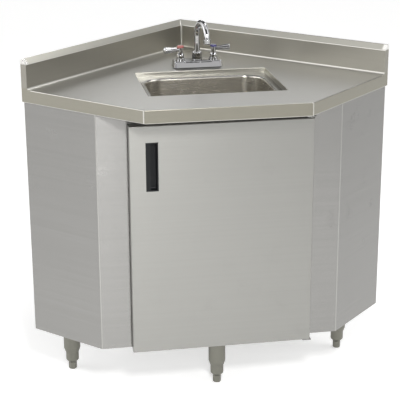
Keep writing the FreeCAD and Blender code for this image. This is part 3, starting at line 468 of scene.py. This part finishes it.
def windThread(radius, low, high):
    pitch, crest = thread["pitch"], thread["crest"]
    foot = pitch * thread["foot"]
    bpy.ops.object.select_all(action="DESELECT")
    bpy.ops.mesh.primitive_plane_add(size=foot, location=(radius, 0, low), rotation=(math.pi / 2, 0, 0))
    ridge = begin("threadPattern")
    pick("VERT", lambda point: point.co.x > radius)
    bpy.ops.mesh.merge(type="CENTER")
    bpy.ops.mesh.select_all(action="SELECT")
    bpy.ops.transform.resize(value=(crest / (foot / 2), 1, 1), center_override=(radius, 0, low))
    bpy.ops.mesh.delete(type="ONLY_FACE")
    bpy.ops.object.mode_set(mode="OBJECT")
    wind = ridge.modifiers.new("wind", "SCREW")
    wind.screw_offset = pitch
    wind.iterations = int((high - low) / pitch)
    wind.steps = wind.render_steps = thread["sides"]
    bpy.ops.object.modifier_apply(modifier="wind")
    bpy.ops.object.mode_set(mode="EDIT")
    bpy.ops.mesh.select_all(action="SELECT")
    bpy.ops.mesh.normals_make_consistent(inside=False)
    # both ends run out into the stud
    top = max(point.co.z for point in bmesh.from_edit_mesh(ridge.data).verts)
    pick("VERT", lambda point: min(point.co.z - low, top - point.co.z) < pitch * thread["runOut"])
    sunk = 1 - thread["sink"] * crest / radius
    bpy.ops.transform.resize(value=(sunk, sunk, 1), center_override=(0, 0, 0))
    bpy.ops.object.mode_set(mode="OBJECT")
    return ridge


studs = {
    "supplyRadius": 0.01048, "supplyLength": 0.038, "supplyGap": 0.001,
    "footRadius": 0.009, "footLow": 0.067, "footHigh": 0.137,
}


def axisOf(node):
    low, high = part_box(node)
    return ((low.x + high.x) / 2, (low.y + high.y) / 2, 0)


def cutThreads():
    low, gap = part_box("hot_supply_shank")[0].z, studs["supplyGap"]
    pattern = windThread(studs["supplyRadius"], low + gap, low + studs["supplyLength"] - gap)
    for side in ("hot", "cold"):
        ridge = copyTo(pattern, side + "SupplyThread", axisOf(side + "_supply_shank"))
        settle(ridge, "cabinet", "brass")
    bpy.data.objects.remove(pattern)
    pattern = windThread(studs["footRadius"], studs["footLow"], studs["footHigh"])
    for side in ("left", "right", "rear", "front"):
        ridge = copyTo(pattern, side + "FootThread", axisOf(side + "_foot"))
        settle(ridge, side + "_foot", "leg_steel")
    bpy.data.objects.remove(pattern)


screen = {"bore": 0.00755, "rise": 0.0014, "cells": 17, "wire": 0.00035}


def weaveScreen():
    low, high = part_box("spout_aerator")
    middle = (low + high) / 2
    spot = (middle.x, middle.y, low.z + screen["rise"])
    cells, bore = screen["cells"], screen["bore"]
    bpy.ops.object.select_all(action="DESELECT")
    bpy.ops.mesh.primitive_grid_add(x_subdivisions=cells, y_subdivisions=cells,
                                    size=2 * bore, location=spot)
    piece = begin("aeratorScreen")
    pick("FACE", lambda face: (face.calc_center_median() - middle).xy.length > bore)
    bpy.ops.mesh.delete(type="FACE")
    bpy.ops.object.mode_set(mode="OBJECT")
    wires = piece.modifiers.new("wires", "WIREFRAME")
    wires.thickness = screen["wire"]
    bpy.ops.object.modifier_apply(modifier="wires")
    settle(piece, "spout", "drain_steel")


# countersunk screws of the pivot brackets, each with a cross recess
screw = {
    "head": 0.0042, "sink": 0.0025, "shank": 0.0020, "length": 0.008, "sides": 32,
    "tip": 0.001, "tipShare": 0.55, "slot": 0.00055, "reach": 0.0022, "depth": 0.0011, "depthShare": 0.7,
}


def driveScrews():
    low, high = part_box("pivot_screws")
    head, sink, slot, reach = screw["head"], screw["sink"], screw["slot"], screw["reach"]
    at = Vector((low.x + head, low.y, low.z + head))

    def isFront(face):
        return face.normal.y < -0.99

    def inCross(face):
        away = face.calc_center_median() - at
        near, far = sorted((abs(away.x), abs(away.z)))
        return isFront(face) and near < slot and far < reach

    def narrow(share):
        bpy.ops.transform.resize(value=(share, 1, share), center_override=at)

    middle = at + Vector((0, sink / 2, 0))
    bpy.ops.object.select_all(action="DESELECT")
    bpy.ops.mesh.primitive_cylinder_add(vertices=screw["sides"], radius=head, depth=sink,
                                        location=middle, rotation=(math.pi / 2, 0, 0))
    piece = begin("pivotScrews")
    pick("FACE", lambda face: face.normal.y > 0.99)
    narrow(screw["shank"] / head)
    extrude(0, screw["length"] - sink - screw["tip"], 0)
    extrude(0, screw["tip"], 0)
    narrow(screw["tipShare"])
    for across in (slot, -slot, reach, -reach):
        for way in (Vector((1, 0, 0)), Vector((0, 0, 1))):
            pick("FACE", isFront)
            bpy.ops.mesh.bisect(plane_co=at + way * across, plane_no=way)
    pick("FACE", inCross)
    extrude(0, screw["depth"], 0)
    narrow(screw["depthShare"])
    bpy.ops.object.mode_set(mode="OBJECT")
    apart, rise = high.x - low.x - 2 * head, high.z - low.z - 2 * head
    shifts = ((apart, 0, 0), (0, 0, rise), (apart, 0, rise))
    choose(piece, *[copyTo(piece, "pivotScrewTwin", shift) for shift in shifts])
    bpy.ops.object.join()
    settle(piece, "cabinet", "bracket_steel")
    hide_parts("pivot_screws")


grindCorner()
cutThreads()
weaveScreen()
driveScrews()
print("corner weld, threads, screen and screws modelled")


# studio: pale floor, soft lights far off in the room and a few lamps
room = {
    "floorSize": 60.0, "floorDrop": 0.0005, "floorTone": (0.86, 0.86, 0.855, 1), "floorLift": 0.48,
    "dim": 0.05,
}
# in degrees: azimuth counts from straight ahead to the right, edge and core from a light's middle
softLights = {
    "leftRear": {"azimuth": -120, "height": 12, "edge": 34, "core": 4, "strength": 1.8},
    "left": {"azimuth": -90, "height": 12, "edge": 34, "core": 4, "strength": 1.8},
    "leftFront": {"azimuth": -60, "height": 12, "edge": 34, "core": 4, "strength": 1.8},
    "front": {"azimuth": 10, "height": 5, "edge": 22, "core": 6, "strength": 0.95},
    "rightFront": {"azimuth": 60, "height": 12, "edge": 34, "core": 4, "strength": 1.8},
    "rightRear": {"azimuth": 150, "height": 12, "edge": 34, "core": 4, "strength": 1.42},
    "leftHigh": {"azimuth": -105, "height": 42, "edge": 36, "core": 5, "strength": 0.93},
    "rightHigh": {"azimuth": 75, "height": 42, "edge": 36, "core": 5, "strength": 1.8},
}
lamps = {
    "keyLamp": {"at": (-0.2, -2.6, 2.2), "aim": (-0.2, -0.2, 0.6), "size": (0.4, 0.4), "watts": 40.3},
    "farLamp": {"at": (-0.35, -3.6, 2.0), "aim": (-0.2, -0.2, 0.6), "size": (0.6, 0.6), "watts": 21.9},
    "overheadLamp": {"at": (0.0, -0.2, 3.3), "aim": (0.0, -0.2, 0.0), "size": (2.2, 1.8), "watts": 9.9},
    "highLamp": {"at": (1.06, 1.06, 3.40), "aim": (0.0, 0.0, 0.8), "size": (0.7, 0.7), "watts": 11.1},
    "rearLamp": {"at": (0.0, 2.52, 2.43), "aim": (0.0, 0.0, 0.8), "size": (0.7, 0.7), "watts": 3.5},
}


# 1 where the floor is looked at, straight on or in a mirror, so that it shows pale but lights no matt face
def seenLight(wire):
    rays = ("Is Camera Ray", "Is Glossy Ray", "Is Transmission Ray")
    camera, glossy, through = wire.node("LightPath", out=rays)
    return wire.maths("MINIMUM", camera + glossy + through, 1.0)


def layFloor():
    bpy.ops.object.select_all(action="DESELECT")
    bpy.ops.mesh.primitive_plane_add(size=room["floorSize"], location=(0, 0, -room["floorDrop"]))
    floor = bpy.context.object
    floor.name = "studioFloor"
    finish = bpy.data.materials.new("paleFloor")
    finish.use_nodes = True
    finish.node_tree.nodes.clear()
    wire = Wire(finish.node_tree)
    matt = wire.node("BsdfDiffuse", inputs={"Color": room["floorTone"]})
    glow = wire.node("Emission", inputs={"Strength": room["floorLift"] * seenLight(wire)})
    both = wire.node("AddShader", inputs={0: matt, 1: glow})
    wire.node("OutputMaterial", inputs={"Surface": both})
    floor.data.materials.append(finish)


# unit vector from the middle of the scene towards an azimuth and a height
def heading(turn, rise):
    return Vector((math.sin(turn) * math.cos(rise), -math.cos(turn) * math.cos(rise), math.sin(rise)))


def hangRoom():
    world = bpy.data.worlds.new("softRoom")
    world.use_nodes = True
    world.node_tree.nodes.clear()
    bpy.context.scene.world = world
    wire = Wire(world.node_tree)
    way = wire.node("TexCoord", out="Generated")
    glow = room["dim"]
    for light in softLights.values():
        middle = heading(math.radians(light["azimuth"]), math.radians(light["height"]))
        near = wire.node("VectorMath", {"operation": "DOT_PRODUCT"}, {0: way, 1: middle}, out="Value")
        edge, core = (math.cos(math.radians(light[key])) for key in ("edge", "core"))
        glow = glow + light["strength"] * step(wire, near, edge, core)
    ground = wire.node("Background", inputs={"Strength": glow})
    wire.node("OutputWorld", inputs={"Surface": ground})


def hangLamps():
    for name, lamp in lamps.items():
        light = bpy.data.lights.new(name, "AREA")
        light.shape = "RECTANGLE"
        light.size, light.size_y = lamp["size"]
        light.energy = lamp["watts"]
        holder = bpy.data.objects.new(name, light)
        bpy.context.scene.collection.objects.link(holder)
        aim = Vector(lamp["aim"]) - Vector(lamp["at"])
        holder.location = lamp["at"]
        holder.rotation_euler = aim.to_track_quat("-Z", "Y").to_euler()
        holder.visible_camera = False


layFloor()
hangRoom()
hangLamps()
bpy.context.scene.view_settings.view_transform = "Standard"
print("studio lit with", len(softLights), "soft lights and", len(lamps), "lamps")

# the photograph's viewpoint
shot = {
    "eye": (-0.62537, -3.57962, 1.70793), "azimuth": -9.775, "pitch": 18.372, "roll": -0.285,
    "lens": 111.72, "sensor": 36.0, "far": 200.0,
}


def placeCamera():
    turn, tip, roll = (math.radians(shot[key]) for key in ("azimuth", "pitch", "roll"))
    backward = heading(turn, tip)
    right = Vector((math.cos(turn), math.sin(turn), 0.0))
    up = backward.cross(right)
    side = right * math.cos(roll) + up * math.sin(roll)
    top = up * math.cos(roll) - right * math.sin(roll)
    lens = bpy.data.cameras.new("shotCamera")
    lens.lens = shot["lens"]
    lens.sensor_width = shot["sensor"]
    lens.clip_end = shot["far"]
    camera = bpy.data.objects.new("shotCamera", lens)
    bpy.context.scene.collection.objects.link(camera)
    turned = Matrix((side, top, backward)).transposed().to_4x4()
    camera.matrix_world = Matrix.Translation(shot["eye"]) @ turned
    bpy.context.scene.camera = camera
    print("camera placed")


placeCamera()
